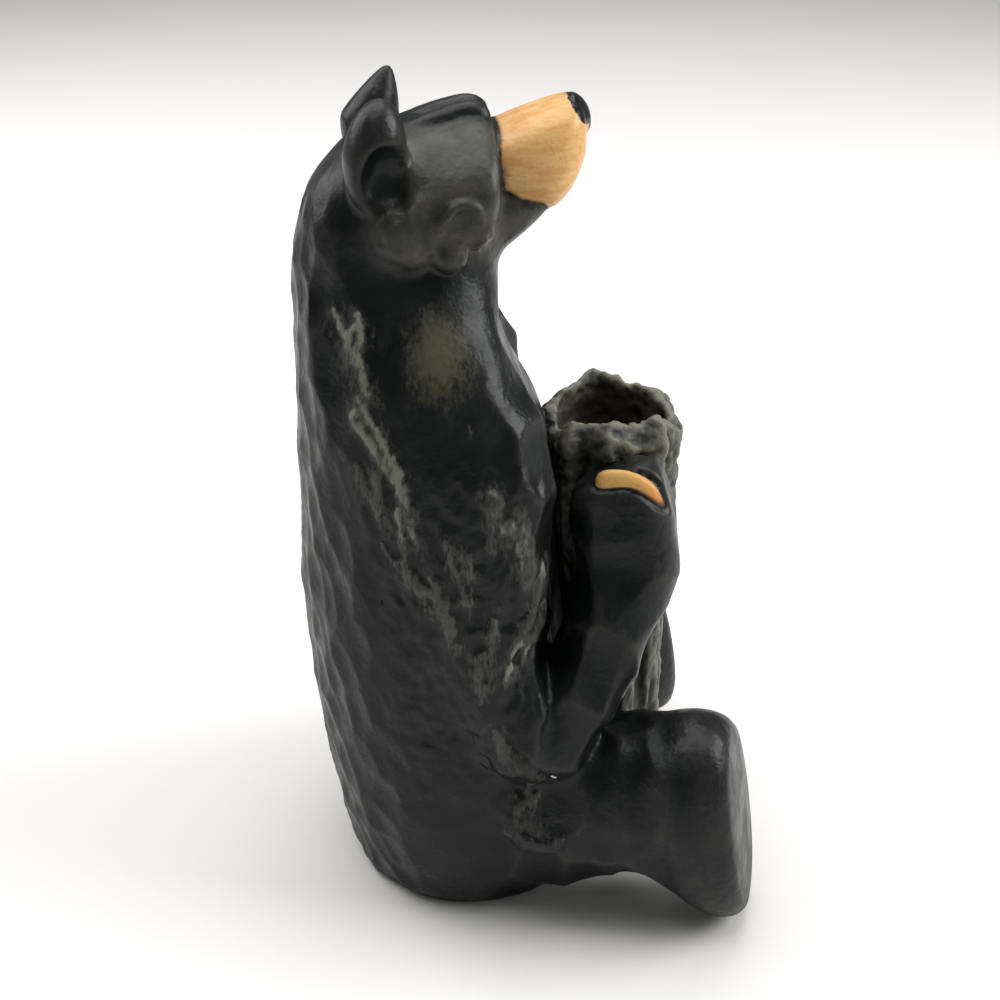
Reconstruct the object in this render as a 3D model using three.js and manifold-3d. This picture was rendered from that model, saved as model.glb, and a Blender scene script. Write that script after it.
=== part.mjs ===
// A sitting bear that hugs a hollow log, cast in one piece. The log's hollow holds a candle.
// Millimetres, +Z up. The bear looks towards -Y, its right side is -X, and the origin is on the
// flat underside of its rump.
import * as THREE from 'three';
import { LoftGeometry } from 'three/addons/geometries/LoftGeometry.js';
import { mergeVertices } from 'three/addons/utils/BufferGeometryUtils.js';
import Module from 'manifold-3d';

const wasm = await Module();
wasm.setup();

const sideways = new THREE.Vector3(1, 0, 0);
const upwards = new THREE.Vector3(0, 0, 1);
const forwards = new THREE.Vector3(0, -1, 0);

// Torso and neck, from under the floor to the crown: height, back line, chest line, half width and
// squareness of each level.
const torsoLevels = [
  { z: -14, back: 17, front: -20, half: 25, power: 2.2 },
  { z: 0, back: 28.5, front: -31, half: 37, power: 2.2 },
  { z: 8, back: 31.6, front: -34, half: 40.5, power: 2.2 },
  { z: 20, back: 33.9, front: -34, half: 43, power: 2.2 },
  { z: 36, back: 36.3, front: -32, half: 44, power: 2.2 },
  { z: 56, back: 38.5, front: -28, half: 43.5, power: 2.2 },
  { z: 76, back: 39.4, front: -25, half: 42.5, power: 2.2 },
  { z: 96, back: 39.2, front: -23, half: 41, power: 2.2 },
  { z: 112, back: 38.7, front: -21.5, half: 39, power: 2.3 },
  { z: 124, back: 38.4, front: -19.3, half: 36.5, power: 2.4 },
  { z: 136, back: 38.2, front: -13, half: 33, power: 2.5 },
  { z: 148, back: 37.9, front: -9, half: 27.6, power: 2.6 },
  { z: 158, back: 37.4, front: -9, half: 23.6, power: 2.6 },
  { z: 168, back: 36.3, front: -9, half: 22, power: 2.6 },
  { z: 177, back: 33.3, front: -6, half: 20.8, power: 2.4 },
  { z: 184, back: 28, front: -2, half: 19, power: 2.2 },
  { z: 191, back: 20, front: 2, half: 12, power: 2.2 },
];

// Head, muzzle and jaw, from the nape forward: crown, underside, half width and squareness.
const headSlices = [
  { y: 27, top: 181, bottom: 171, half: 12, power: 2.4 },
  { y: 20, top: 188.4, bottom: 168, half: 19.5, power: 2.2 },
  { y: 12, top: 191, bottom: 165, half: 23.2, power: 1.9 },
  { y: 4, top: 193, bottom: 164, half: 25, power: 1.75 },
  { y: -2, top: 194.4, bottom: 165, half: 25, power: 1.7 },
  { y: -5.8, top: 194, bottom: 166.5, half: 24.4, power: 1.7 },
  { y: -7.8, top: 193, bottom: 168, half: 22.6, power: 1.75 },
];
const muzzleSlices = [
  { y: -3, top: 189.8, bottom: 177.6, half: 12.4, power: 2.8 },
  { y: -9, top: 190.6, bottom: 177, half: 13, power: 2.9 },
  { y: -14, top: 192.6, bottom: 174.8, half: 13.5, power: 2.9 },
  { y: -19, top: 194.4, bottom: 172.3, half: 13.6, power: 2.9 },
  { y: -22.5, top: 195.6, bottom: 173.2, half: 13, power: 2.8 },
  { y: -25.5, top: 196.2, bottom: 176.6, half: 11.4, power: 2.7 },
  { y: -27.5, top: 195.4, bottom: 180.4, half: 9, power: 2.5 },
  { y: -28.8, top: 192.5, bottom: 183.6, half: 6, power: 2.3 },
];
const jawSlices = [
  { y: 2, top: 180, bottom: 158.5, half: 16, power: 2.4 },
  { y: -6, top: 181, bottom: 160.4, half: 14, power: 2.4 },
  { y: -10.5, top: 181, bottom: 163.2, half: 13, power: 2.4 },
  { y: -14.5, top: 181, bottom: 166.4, half: 12, power: 2.4 },
  { y: -18, top: 181, bottom: 169.6, half: 10.8, power: 2.4 },
  { y: -20.6, top: 181, bottom: 172.4, half: 9, power: 2.4 },
];
const nose = { y: -26.7, z: 191.9, radii: [6, 3.4, 5], tilt: -0.35 };
const browRidge = [
  { at: [-5, 17, 185.6], half: [3.4, 3.2] },
  { at: [-4.4, 8, 190.2], half: [3.4, 3] },
  { at: [-3.8, 1, 192.6], half: [3.2, 2.9] },
  { at: [-3.4, -3.6, 193.4], half: [3, 2.8] },
  { at: [-3.4, -6.6, 191.6], half: [2.6, 2.4] },
];
const ear = {
  at: [-18.6, 18.4, 188.4],
  radii: [7.8, 6.8, 12],
  cup: [-8, -1, -4.4],
  cupRadii: [6.2, 4.4, 7.6],
  rightTaper: 0.08,
  leftTaper: 0.5,
  tilt: 0.1,
};

// Limbs of the right side: points of the middle line, with half sizes across and along the section.
const upperArm = [
  { at: [-5, 8, 166], half: [8, 11] },
  { at: [-13.5, 9.4, 154], half: [11, 15] },
  { at: [-21, 8.4, 141], half: [12.4, 17.2] },
  { at: [-27.5, 2.6, 124], half: [12.9, 19.4] },
  { at: [-31.3, -0.6, 106], half: [13, 18.2] },
  { at: [-34.5, -1.6, 88], half: [12, 14.6] },
  { at: [-37.5, -4.2, 70], half: [11, 12] },
  { at: [-39.5, -11, 54], half: [10, 11] },
  { at: [-39.5, -19, 43], half: [7, 7] },
];
const foreArm = [
  { at: [-38.5, -15, 42], half: [7, 7] },
  { at: [-39.5, -18.8, 51], half: [10.5, 7.8] },
  { at: [-37.5, -25, 63], half: [11, 9.2] },
  { at: [-33.5, -32, 77], half: [10.5, 10.4] },
  { at: [-30, -36.4, 91], half: [10, 10.8] },
  { at: [-27.5, -36.6, 103], half: [10, 11] },
  { at: [-25.5, -35.6, 111], half: [9.5, 10.4] },
  { at: [-24, -34.6, 117], half: [7, 8] },
];
const leg = [
  { at: [-18, 4, 33], half: [15, 23] },
  { at: [-26.5, -12, 29.4], half: [18, 26.6] },
  { at: [-33, -25, 30], half: [17.2, 23] },
  { at: [-37.5, -35, 32], half: [15.6, 20.6] },
  { at: [-40.5, -45, 32], half: [15.6, 22.4] },
  { at: [-42.6, -52, 30.4], half: [17, 26.6] },
  { at: [-44, -57.6, 29.4], half: [17.6, 28.2] },
  { at: [-45.2, -62.5, 29.2], half: [16.8, 27.2] },
  { at: [-46, -66, 29], half: [14.2, 23.4] },
];
const leftFootBack = 6;
const legHeading = new THREE.Vector3(-0.34, -0.92, 0.16);

// Raised locks of fur on each flank, as [forward, up] points of their middle lines, with half widths.
const locks = [
  { line: [[26.4, 157], [24.4, 148], [21.6, 137]], wide: 3.2 },
  { line: [[24.6, 139.5], [21.2, 131], [17.6, 121]], wide: 3.2 },
  { line: [[18.2, 128], [15.8, 117], [13.6, 104]], wide: 2.8 },
  { line: [[23.6, 125], [20.8, 116], [17.4, 107]], wide: 2.6 },
  { line: [[18.4, 108.5], [14.6, 100], [10.2, 91]], wide: 3 },
  { line: [[-1.8, 120.5], [-5, 115.5], [-5.2, 107]], wide: 2.1 },
  { line: [[-6.4, 118], [-9.2, 108], [-12.4, 97.5]], wide: 2.8 },
  { line: [[-15.4, 101], [-12.6, 89], [-7.4, 74.5]], wide: 3.8 },
  { line: [[-2, 66], [-9, 53], [-17, 45.5]], wide: 3.6 },
  { line: [[-16.5, 46], [-11.8, 38.5], [-7.6, 29]], wide: 3.8 },
  { line: [[-7, 31.5], [-15.5, 26.5], [-24.5, 33]], wide: 4 },
  { line: [[7.8, 171.5], [3.1, 177.6], [-3.4, 178.2]], wide: 2.2 },
];
const jowls = [
  { at: [-19.4, 7.6, 174], radii: [6.4, 10, 8.6] },
  { at: [-22.6, 3.1, 166.9], radii: [3.4, 4, 4] },
];

// Claws of the right paw: one along the top edge, the others curled round the front of the log.
const clawRoots = [109.5, 103, 96.5];
const leftPawDrop = 7;
const topClaw = [
  { at: [-30.2, -28.6, 115.2], half: [1.6, 2.2] },
  { at: [-31, -31.5, 115.9], half: [1.8, 2.9] },
  { at: [-31.8, -35.8, 115.9], half: [1.8, 2.7] },
  { at: [-32.8, -39.6, 114.2], half: [1.7, 2.4] },
  { at: [-33, -42.2, 111], half: [1.5, 1.9] },
  { at: [-32.2, -44, 108], half: [1, 0.9] },
];
const frontClaw = (z) => [
  { at: [-26, -44, z], half: [1.8, 1.8] },
  { at: [-22.5, -44.4, z + 0.6], half: [2, 2] },
  { at: [-19, -43.9, z + 0.4], half: [1.9, 1.9] },
  { at: [-16.4, -44.6, z - 0.6], half: [1.6, 1.6] },
  { at: [-14.2, -46.2, z - 2.2], half: [0.8, 0.8] },
];

// The log, with waves for its bark, its broken rim and the wall of its hollow.
const log = { radius: 16.8, y: -37, top: 121.5, bevel: 5, foot: -6, taper: 1.8, hollowRadius: 13.4, hollowDepth: 26 };
const barkWaves = [
  { size: 0.55, count: 9, phase: 0, twist: 0.06 },
  { size: 0.35, count: 14, phase: 1, twist: -0.09 },
];
const rimWaves = [
  { size: 0.5, count: 1, phase: 1.57, twist: 0 },
  { size: 1.7, count: 2, phase: 1.57, twist: 0 },
  { size: 0.9, count: 5, phase: 1, twist: 0 },
  { size: 0.6, count: 8, phase: 2.2, twist: 0 },
];
const hollowWaves = [
  { size: 0.5, count: 3, phase: 1, twist: 0 },
  { size: 0.3, count: 7, phase: 0, twist: 0 },
];

// A closed loft through stations, with rounded ends. The sections stand square to the heading, or
// to the middle line itself where no heading is given.
function skin(stations, options) {
  const { heading, across = sideways, around = 24, rows = 12, power = 2.3, domes, capRows = 2 } = options;
  const line = (pick) => {
    const points = stations.map((s) => new THREE.Vector3(...pick(s)));
    return new THREE.CatmullRomCurve3(points, false, 'catmullrom');
  };
  const middleLine = line((s) => s.at);
  const girthLine = line((s) => [...s.half, s.power ?? power]);
  const steps = [];
  for (let k = 0; k < capRows; k++) {
    const turn = (k + 0.35) / capRows * Math.PI / 2;
    steps.push({ t: domes[0] * (1 - Math.cos(turn)), scale: Math.sin(turn) });
  }
  for (let k = 0; k <= rows; k++) {
    steps.push({ t: domes[0] + (1 - domes[0] - domes[1]) * k / rows, scale: 1 });
  }
  for (let k = capRows - 1; k >= 0; k--) {
    const turn = (k + 0.35) / capRows * Math.PI / 2;
    steps.push({ t: 1 - domes[1] * (1 - Math.cos(turn)), scale: Math.sin(turn) });
  }
  const sections = steps.map(({ t, scale }) => {
    const middle = middleLine.getPoint(t);
    const along = (heading ?? middleLine.getTangent(t)).clone().normalize();
    const girth = girthLine.getPoint(t);
    const up = new THREE.Vector3().crossVectors(along, across).normalize();
    const side = new THREE.Vector3().crossVectors(up, along).normalize();
    return Array.from({ length: around }, (_, j) => {
      const angle = j / around * 2 * Math.PI;
      const c = Math.cos(angle);
      const s = Math.sin(angle);
      const a = girth.x * scale * Math.sign(c) * Math.abs(c) ** (2 / girth.z);
      const b = girth.y * scale * Math.sign(s) * Math.abs(s) ** (2 / girth.z);
      return middle.clone().addScaledVector(side, a).addScaledVector(up, b);
    });
  });
  return solidOf(new LoftGeometry(sections, { capStart: true, capEnd: true }));
}

function solidOf(geometry) {
  const plain = new THREE.BufferGeometry();
  plain.setAttribute('position', geometry.getAttribute('position'));
  plain.setIndex(geometry.getIndex());
  const merged = mergeVertices(plain, 1e-4);
  return new wasm.Manifold(new wasm.Mesh({
    numProp: 3,
    vertProperties: merged.attributes.position.array,
    triVerts: new Uint32Array(merged.index.array),
  }));
}

const levels = (list) => list.map((l) => ({
  at: [0, (l.back + l.front) / 2, l.z],
  half: [l.half, (l.back - l.front) / 2],
  power: l.power,
}));
const slices = (list) => list.map((s) => ({
  at: [0, s.y, (s.top + s.bottom) / 2],
  half: [s.half, (s.top - s.bottom) / 2],
  power: s.power,
}));
const mirrorX = (v) => new THREE.Vector3(-v.x, v.y, v.z);
const mirrored = (list) => list.map((s) => ({ ...s, at: [-s.at[0], s.at[1], s.at[2]] }));
const bothSides = (limb, options) => [skin(limb, options), skin(mirrored(limb), options)];
const leftForeArm = () => mirrored(foreArm).map((s, i) => ({
  ...s,
  at: [s.at[0], s.at[1], s.at[2] - leftPawDrop * i / (foreArm.length - 1)],
}));
const leftClaw = (claw) => mirrored(claw).map((s) => ({
  ...s,
  at: [s.at[0], s.at[1], s.at[2] - leftPawDrop],
}));
const leftLeg = () => mirrored(leg).map((s, i) => ({
  ...s,
  at: [s.at[0], s.at[1] + leftFootBack * i / (leg.length - 1), s.at[2]],
}));

function ball(at, radii, tilt = 0, detail = 16, taper = 0) {
  const geometry = new THREE.SphereGeometry(1, detail, Math.round(detail * 0.75));
  geometry.rotateX(Math.PI / 2);
  const points = geometry.getAttribute('position');
  for (let i = 0; i < points.count; i++) {
    const height = Math.max(0, points.getZ(i));
    const narrow = 1 - taper * height;
    points.setXY(i, points.getX(i) * narrow, points.getY(i) * narrow - taper * height);
  }
  geometry.scale(...radii).rotateX(tilt).translate(...at);
  return solidOf(geometry);
}

function ears() {
  return [[1, ear.rightTaper], [-1, ear.leftTaper]].map(([side, taper]) => {
    const [x, y, z] = ear.at;
    const cup = [side * (x + ear.cup[0]), y + ear.cup[1], z + ear.cup[2]];
    const lobe = ball([side * x, y, z], ear.radii, ear.tilt, 10, taper);
    return lobe.subtract(ball(cup, ear.cupRadii, ear.tilt, 10));
  });
}

function wave(waves, angle, z = 0) {
  return waves.reduce((sum, w) => sum + w.size * Math.sin(w.count * angle + w.phase + w.twist * z), 0);
}

function ring(around, radiusAt, heightAt) {
  return Array.from({ length: around }, (_, j) => {
    const angle = j / around * 2 * Math.PI;
    const z = heightAt(angle);
    const r = radiusAt(angle, z);
    return new THREE.Vector3(r * Math.cos(angle), log.y + r * Math.sin(angle), z);
  });
}

function logSolid() {
  const bands = 7;
  const barkRing = (radius, level, ragging) => ring(
    32,
    (angle, z) => radius + wave(barkWaves, angle, z),
    (angle) => level + ragging * wave(rimWaves, angle),
  );
  const plainRing = (radius, level) => ring(32, () => radius, () => level);
  const sections = [plainRing(log.radius - log.taper, log.foot - 2)];
  const shoulder = log.top - log.bevel - 4;
  for (let k = 0; k <= bands; k++) {
    const narrower = log.taper * (1 - (k / bands) ** 4);
    sections.push(barkRing(log.radius - narrower, log.foot + (shoulder - log.foot) * k / bands, 0));
  }
  sections.push(barkRing(log.radius + 0.5, log.top - log.bevel, 0.8));
  sections.push(barkRing(log.hollowRadius + 0.9, log.top, 1));
  sections.push(plainRing(log.hollowRadius / 2, log.top));
  return solidOf(new LoftGeometry(sections, { capStart: true, capEnd: true }));
}

function hollowSolid() {
  const floorZ = log.top - log.hollowDepth;
  const wallRing = (z, radius) => ring(24, (angle) => radius + wave(hollowWaves, angle), () => z);
  const sections = [
    wallRing(floorZ, log.hollowRadius - 0.6),
    wallRing(floorZ + 9, log.hollowRadius),
    wallRing(log.top + 10, log.hollowRadius + 0.4),
  ];
  return solidOf(new LoftGeometry(sections, { capStart: true, capEnd: true }));
}

const foreArmShape = { around: 14, rows: 9, power: 2.4, domes: [0.1, 0.12] };
const legShape = { around: 18, rows: 9, domes: [0.08, 0.045] };
const forms = [
  skin(levels(torsoLevels), { heading: upwards, around: 30, rows: 18, domes: [0.05, 0.05] }),
  skin(slices(headSlices), { heading: forwards, around: 24, rows: 7, domes: [0.1, 0.03] }),
  skin(slices(muzzleSlices), { heading: forwards, around: 20, rows: 8, domes: [0.05, 0.08] }),
  skin(slices(jawSlices), { heading: forwards, around: 14, rows: 5, domes: [0.05, 0.12] }),
  ball([0, nose.y, nose.z], nose.radii, nose.tilt, 10),
  ...bothSides(browRidge, { around: 8, rows: 4, domes: [0.2, 0.15], capRows: 1 }),
  ...ears(),
  ...bothSides(upperArm, { around: 14, rows: 8, power: 2.1, domes: [0.06, 0.08] }),
  skin(foreArm, foreArmShape),
  skin(leftForeArm(), foreArmShape),
  skin(leg, { ...legShape, heading: legHeading }),
  skin(leftLeg(), { ...legShape, heading: mirrorX(legHeading) }),
  logSolid(),
];
let body = forms.reduce((a, b) => a.add(b));

// Each lock lies on the flank that it grows from, half sunk, and tapers to its tip.
const flank = new THREE.Mesh(geometryOf(body), new THREE.MeshBasicMaterial());
const probe = new THREE.Raycaster();
function lay(y, z, side) {
  probe.set(new THREE.Vector3(side * 200, y, z), new THREE.Vector3(-side, 0, 0));
  return probe.intersectObject(flank)[0].point.x;
}
function lock({ line, wide }, side) {
  const swell = [0.55, 1, 0.3];
  return skin(line.map(([y, z], i) => ({
    at: [lay(y, z, side) - side * 0.2, y, z],
    half: [wide * 0.55 * swell[i], wide * swell[i]],
  })), { around: 5, rows: 2, power: 2, domes: [0.25, 0.3], capRows: 1 });
}
const bothBalls = ({ at: [x, y, z], radii }) => [x, -x].map((side) => ball([side, y, z], radii, 0, 7));
const clawShape = { around: 5, rows: 4, power: 2, domes: [0.15, 0.12], capRows: 1 };
const carving = [
  ...[-1, 1].flatMap((side) => locks.map((l) => lock(l, side))),
  ...jowls.flatMap(bothBalls),
  skin(topClaw, clawShape),
  skin(leftClaw(topClaw), clawShape),
  ...clawRoots.map((z) => skin(frontClaw(z), { ...clawShape, across: upwards })),
  ...clawRoots.map((z) => skin(leftClaw(frontClaw(z)), { ...clawShape, across: upwards })),
];
body = carving.reduce((a, b) => a.add(b), body);
body = body.subtract(hollowSolid());
const belowFloor = new THREE.BoxGeometry(400, 400, 100);
belowFloor.translate(0, 0, -50);
body = body.subtract(solidOf(belowFloor));

// The casting is solid: the small pockets sealed under the locks are filled.
body = body.decompose().sort((a, b) => b.volume() - a.volume())[0];

function geometryOf(solid) {
  const mesh = solid.getMesh();
  const geometry = new THREE.BufferGeometry();
  geometry.setAttribute('position', new THREE.BufferAttribute(mesh.vertProperties, 3));
  geometry.setIndex(new THREE.BufferAttribute(mesh.triVerts, 1));
  geometry.computeVertexNormals();
  return geometry;
}

const painted = new THREE.MeshStandardMaterial({ color: 0x24292c, roughness: 0.45, metalness: 0 });
const bear = new THREE.Mesh(geometryOf(body), painted);
bear.name = 'bear_with_log';

const part = new THREE.Group();
part.add(bear);
export default part;
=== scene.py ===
import math

import bpy
import numpy as np
import openvdb
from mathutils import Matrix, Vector


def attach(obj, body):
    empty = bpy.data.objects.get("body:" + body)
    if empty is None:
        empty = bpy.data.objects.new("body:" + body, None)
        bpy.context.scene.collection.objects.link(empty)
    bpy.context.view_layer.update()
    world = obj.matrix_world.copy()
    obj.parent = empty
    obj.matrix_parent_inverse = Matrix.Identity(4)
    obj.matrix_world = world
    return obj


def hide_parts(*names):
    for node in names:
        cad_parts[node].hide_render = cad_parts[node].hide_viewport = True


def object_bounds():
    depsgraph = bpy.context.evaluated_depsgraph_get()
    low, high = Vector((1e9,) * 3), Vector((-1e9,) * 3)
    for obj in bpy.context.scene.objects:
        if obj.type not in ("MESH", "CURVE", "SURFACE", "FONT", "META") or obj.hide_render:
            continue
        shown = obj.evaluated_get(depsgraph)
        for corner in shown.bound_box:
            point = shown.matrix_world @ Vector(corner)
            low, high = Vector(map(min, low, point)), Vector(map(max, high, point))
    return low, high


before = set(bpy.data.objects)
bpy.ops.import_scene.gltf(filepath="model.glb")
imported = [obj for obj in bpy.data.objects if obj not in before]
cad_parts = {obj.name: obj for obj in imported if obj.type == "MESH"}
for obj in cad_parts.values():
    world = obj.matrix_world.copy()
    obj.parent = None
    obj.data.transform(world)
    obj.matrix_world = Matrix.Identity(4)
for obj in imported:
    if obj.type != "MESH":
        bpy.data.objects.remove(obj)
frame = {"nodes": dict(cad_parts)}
cadLow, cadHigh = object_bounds()
mm = 0.001
print("frame loaded:", ", ".join(frame["nodes"]))

# The bear is modelled like clay: every form is a closed skin, turned into distances on a grid of
# samples (millimetres, negative inside), and joined softly to what is there already.
clay = {"voxel": 0.75, "margin": 4.5, "reach": 12.0, "triangles": 188000}
voxel = clay["voxel"]
gridLow = np.floor((np.array(cadLow) / mm - clay["margin"]) / voxel).astype(int)
gridHigh = np.ceil((np.array(cadHigh) / mm + clay["margin"]) / voxel).astype(int)
sampleGrid = openvdb.createLinearTransform(voxelSize=voxel)


def freshField():
    return np.full(gridHigh - gridLow, clay["reach"], np.float32)


def unit(vectors):
    return vectors / np.maximum(np.linalg.norm(vectors, axis=-1, keepdims=True), 1e-9)


def ease(low, high, value):
    t = np.clip((value - low) / (high - low), 0, 1)
    return t * t * (3 - 2 * t)


def throughPoints(points, t):
    points = np.asarray(points, float)
    last = len(points) - 1
    place = np.clip(t, 0, 1) * last
    i = np.minimum(place.astype(int), last - 1)
    w = (place - i)[:, None]
    padded = np.vstack([2 * points[0] - points[1], points, 2 * points[-1] - points[-2]])
    before, start, end, after = (padded[i + k] for k in range(4))
    leave = (end - before) / 2
    arrive = (after - start) / 2
    turn = 3 * (end - start) - 2 * leave - arrive
    bend = 2 * (start - end) + leave + arrive
    return start + leave * w + turn * w**2 + bend * w**3


def closedRings(rings):
    n, m = rings.shape[:2]
    points = np.vstack([rings.reshape(-1, 3), rings[:1].mean(1), rings[-1:].mean(1)])
    row, column = np.meshgrid(np.arange(n - 1) * m, np.arange(m), indexing="ij")
    beside = (column + 1) % m
    quads = np.stack([row + column, row + beside, row + m + beside, row + m + column], -1)
    j = np.arange(m)
    k = (j + 1) % m
    firstFan = np.stack([k, j, np.full(m, n * m)], 1)
    lastFan = np.stack([(n - 1) * m + j, (n - 1) * m + k, np.full(m, n * m + 1)], 1)
    return points, quads.reshape(-1, 4), np.vstack([firstFan, lastFan])


# A skin through stations (x, y, z, half across, half up, squareness) with rounded ends. Its sections
# stand square to the heading, or to the middle line where there is none.
def loft(stations, heading=None, across=(1, 0, 0), power=2.3, ends=(0.06, 0.06), around=56, rows=72):
    capRows = 7
    stations = np.array([tuple(s) + (power,) * (6 - len(s)) for s in stations], float)
    turn = (np.arange(capRows) + 0.25) / capRows * math.pi / 2
    steps = np.linspace(ends[0], 1 - ends[1], rows + 1)
    opening = ends[0] * (1 - np.cos(turn))
    closing = 1 - ends[1] * (1 - np.cos(turn[::-1]))
    t = np.concatenate([opening, steps, closing])
    swell = np.concatenate([np.sin(turn), np.ones(rows + 1), np.sin(turn[::-1])])[:, None]
    values = throughPoints(stations, t)
    if heading is None:
        along = throughPoints(stations[:, :3], t + 1e-4) - throughPoints(stations[:, :3], t - 1e-4)
    else:
        along = np.tile(np.array(heading, float), (len(t), 1))
    along = unit(along)
    up = unit(np.cross(along, across))
    side = np.cross(up, along)
    angle = np.arange(around) / around * 2 * math.pi
    square = 2 / values[:, 5:6]
    a = values[:, 3:4] * swell * np.sign(np.cos(angle)) * np.abs(np.cos(angle)) ** square
    b = values[:, 4:5] * swell * np.sign(np.sin(angle)) * np.abs(np.sin(angle)) ** square
    return closedRings(values[:, None, :3] + side[:, None] * a[..., None] + up[:, None] * b[..., None])


def ball(at, radii, tilt=0, taper=0, around=40, rows=30):
    polar = ((np.arange(rows) + 0.5) / rows * math.pi)[:, None]
    angle = np.arange(around) / around * 2 * math.pi
    z = np.cos(polar) + 0 * angle
    lift = np.maximum(z, 0)
    x = np.sin(polar) * np.cos(angle) * (1 - taper * lift) * radii[0]
    y = (np.sin(polar) * np.sin(angle) * (1 - taper * lift) - taper * lift) * radii[1]
    z = z * radii[2]
    c, s = math.cos(tilt), math.sin(tilt)
    return closedRings(np.stack([x, y * c - z * s, y * s + z * c], -1) + np.array(at))


def tube(line, radius, taper=True):
    swell = np.sin(np.linspace(0.35, 0.75 * math.pi, len(line))) if taper else np.ones(len(line))
    stations = [(*p, radius * s, radius * s) for p, s in zip(line, swell)]
    return loft(stations, across=(0.31, 0.2, 0.93), power=2, ends=(0.1, 0.1), around=12, rows=30)


def mirrored(shape, side):
    points, quads, fans = shape
    return points * np.array([-side, 1, 1]), quads, fans


def distancesTo(shape):
    points, quads, fans = shape
    skin = openvdb.FloatGrid.createLevelSetFromPolygons(
        points.astype(np.float32),
        triangles=fans.astype(np.uint32),
        quads=quads.astype(np.uint32),
        transform=sampleGrid,
        halfWidth=clay["reach"] / voxel,
    )
    first = np.maximum(np.floor((points.min(0) - clay["reach"]) / voxel).astype(int), gridLow)
    last = np.minimum(np.ceil((points.max(0) + clay["reach"]) / voxel).astype(int), gridHigh)
    block = np.empty(last - first, np.float32)
    skin.copyToArray(block, ijk=tuple(int(i) for i in first))
    where = tuple(slice(a, b) for a, b in zip(first - gridLow, last - gridLow))
    return where, block


def softMin(a, b, soft):
    if np.isscalar(soft) and soft == 0:
        return np.minimum(a, b)
    h = np.clip(0.5 + 0.5 * (b - a) / soft, 0, 1)
    return np.where(b < clay["reach"] * 0.999, b + (a - b) * h - soft * h * (1 - h), a)


def softAt(soft, where):
    if not callable(soft):
        return soft
    heights = np.arange(gridLow[2], gridHigh[2])[where[2]] * voxel
    return soft(heights).astype(np.float32)


def join(field, shape, soft=0.0):
    where, block = distancesTo(shape)
    field[where] = softMin(field[where], block, softAt(soft, where))


def carve(field, shape, soft=0.0):
    where, block = distancesTo(shape)
    field[where] = -softMin(-field[where], block, softAt(soft, where))


def sampleField(field, points):
    place = np.clip(points / voxel - gridLow, 0, np.array(field.shape) - 1.001)
    i = place.astype(int)
    f = place - i
    total = 0
    for dx in (0, 1):
        for dy in (0, 1):
            for dz in (0, 1):
                weight = np.abs(1 - dx - f[:, 0]) * np.abs(1 - dy - f[:, 1]) * np.abs(1 - dz - f[:, 2])
                total = total + weight * field[i[:, 0] + dx, i[:, 1] + dy, i[:, 2] + dz]
    return total


# Body, legs and arms. The right side is written, the left one mirrors it.
body = {
    "levels": [  # height, back line, chest line, half width, squareness
        (-14, 17, -20, 25, 2.2),
        (0, 28.5, -31, 37, 2.2),
        (8, 31.6, -34, 40.5, 2.2),
        (20, 33.9, -34, 43, 2.2),
        (36, 36.3, -32, 44, 2.2),
        (56, 38.5, -28, 43.5, 2.2),
        (76, 39.4, -25, 42.5, 2.2),
        (96, 39.2, -23, 41, 2.2),
        (112, 38.7, -21.5, 39, 2.3),
        (124, 38.4, -19.3, 36.5, 2.4),
        (136, 38.2, -13, 33, 2.5),
        (148, 37.9, -9, 27.6, 2.6),
        (158, 37.4, -9, 23.6, 2.6),
        (168, 36.3, -9, 22, 2.6),
        (177, 33.3, -6, 20.8, 2.4),
        (184, 28, -2, 19, 2.2),
        (191, 20, 2, 12, 2.2),
    ],
    "leg": [
        (-18, 4, 33, 15, 23),
        (-26.5, -12, 29.4, 18, 26.6),
        (-33, -25, 30, 17.2, 23),
        (-37.5, -35, 32, 15.6, 20.6),
        (-40.5, -45, 32, 15.6, 22.4),
        (-42.6, -52, 30.4, 17, 26.6),
        (-44, -57.6, 29.4, 17.6, 28.2),
        (-45.2, -62.5, 29.2, 16.8, 27.2),
        (-46, -66, 29, 14.2, 23.4),
    ],
    "legHeading": (-0.34, -0.92, 0.16),
    "leftFootBack": 6,
    "upperArm": [
        (-5, 8, 166, 8, 11),
        (-13.5, 9.4, 154, 11, 15),
        (-21, 8.4, 141, 12.4, 17.2),
        (-27.5, 2.6, 124, 12.9, 19.4),
        (-31.3, -0.6, 106, 13, 18.2),
        (-34.5, -1.6, 88, 12, 14.6),
        (-37.5, -4.2, 70, 11, 12),
        (-39.5, -11, 54, 10, 11),
        (-39.5, -19, 43, 7, 7),
    ],
    "foreArm": [
        (-38.5, -15, 42, 7, 7),
        (-39.5, -18.8, 51, 10.5, 7.8),
        (-37.5, -25, 63, 11, 9.2),
        (-33.5, -32, 77, 10.5, 10.4),
        (-30, -36.4, 91, 10, 10.8),
        (-27.5, -36.6, 103, 10, 11),
        (-25.5, -35.6, 111, 9.5, 10.4),
        (-24, -34.6, 117, 7, 8),
    ],
    "leftPawDrop": 7,
    "legSoft": 5,
    "armSoft": 7,
    "elbowSoft": 3,
    "wristSoft": 2.5,
    "elbowCrease": [(-50.6, -5, 62), (-50.2, -11.4, 53.8), (-49.4, -14.4, 50), (-48, -17.3, 46)],
    "creaseRadius": 0.5,
}


def growing(stations, shift, axis):
    moved = []
    for i, s in enumerate(stations):
        place = list(s)
        place[axis] += shift * i / (len(stations) - 1)
        moved.append(tuple(place))
    return moved


def onSide(stations, side):
    return [(-side * s[0], *s[1:]) for s in stations]


def slicesOf(slices):
    stations = []
    for y, top, bottom, half, power in slices:
        stations.append((0, y, (top + bottom) / 2, half, (top - bottom) / 2, power))
    return stations


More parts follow.
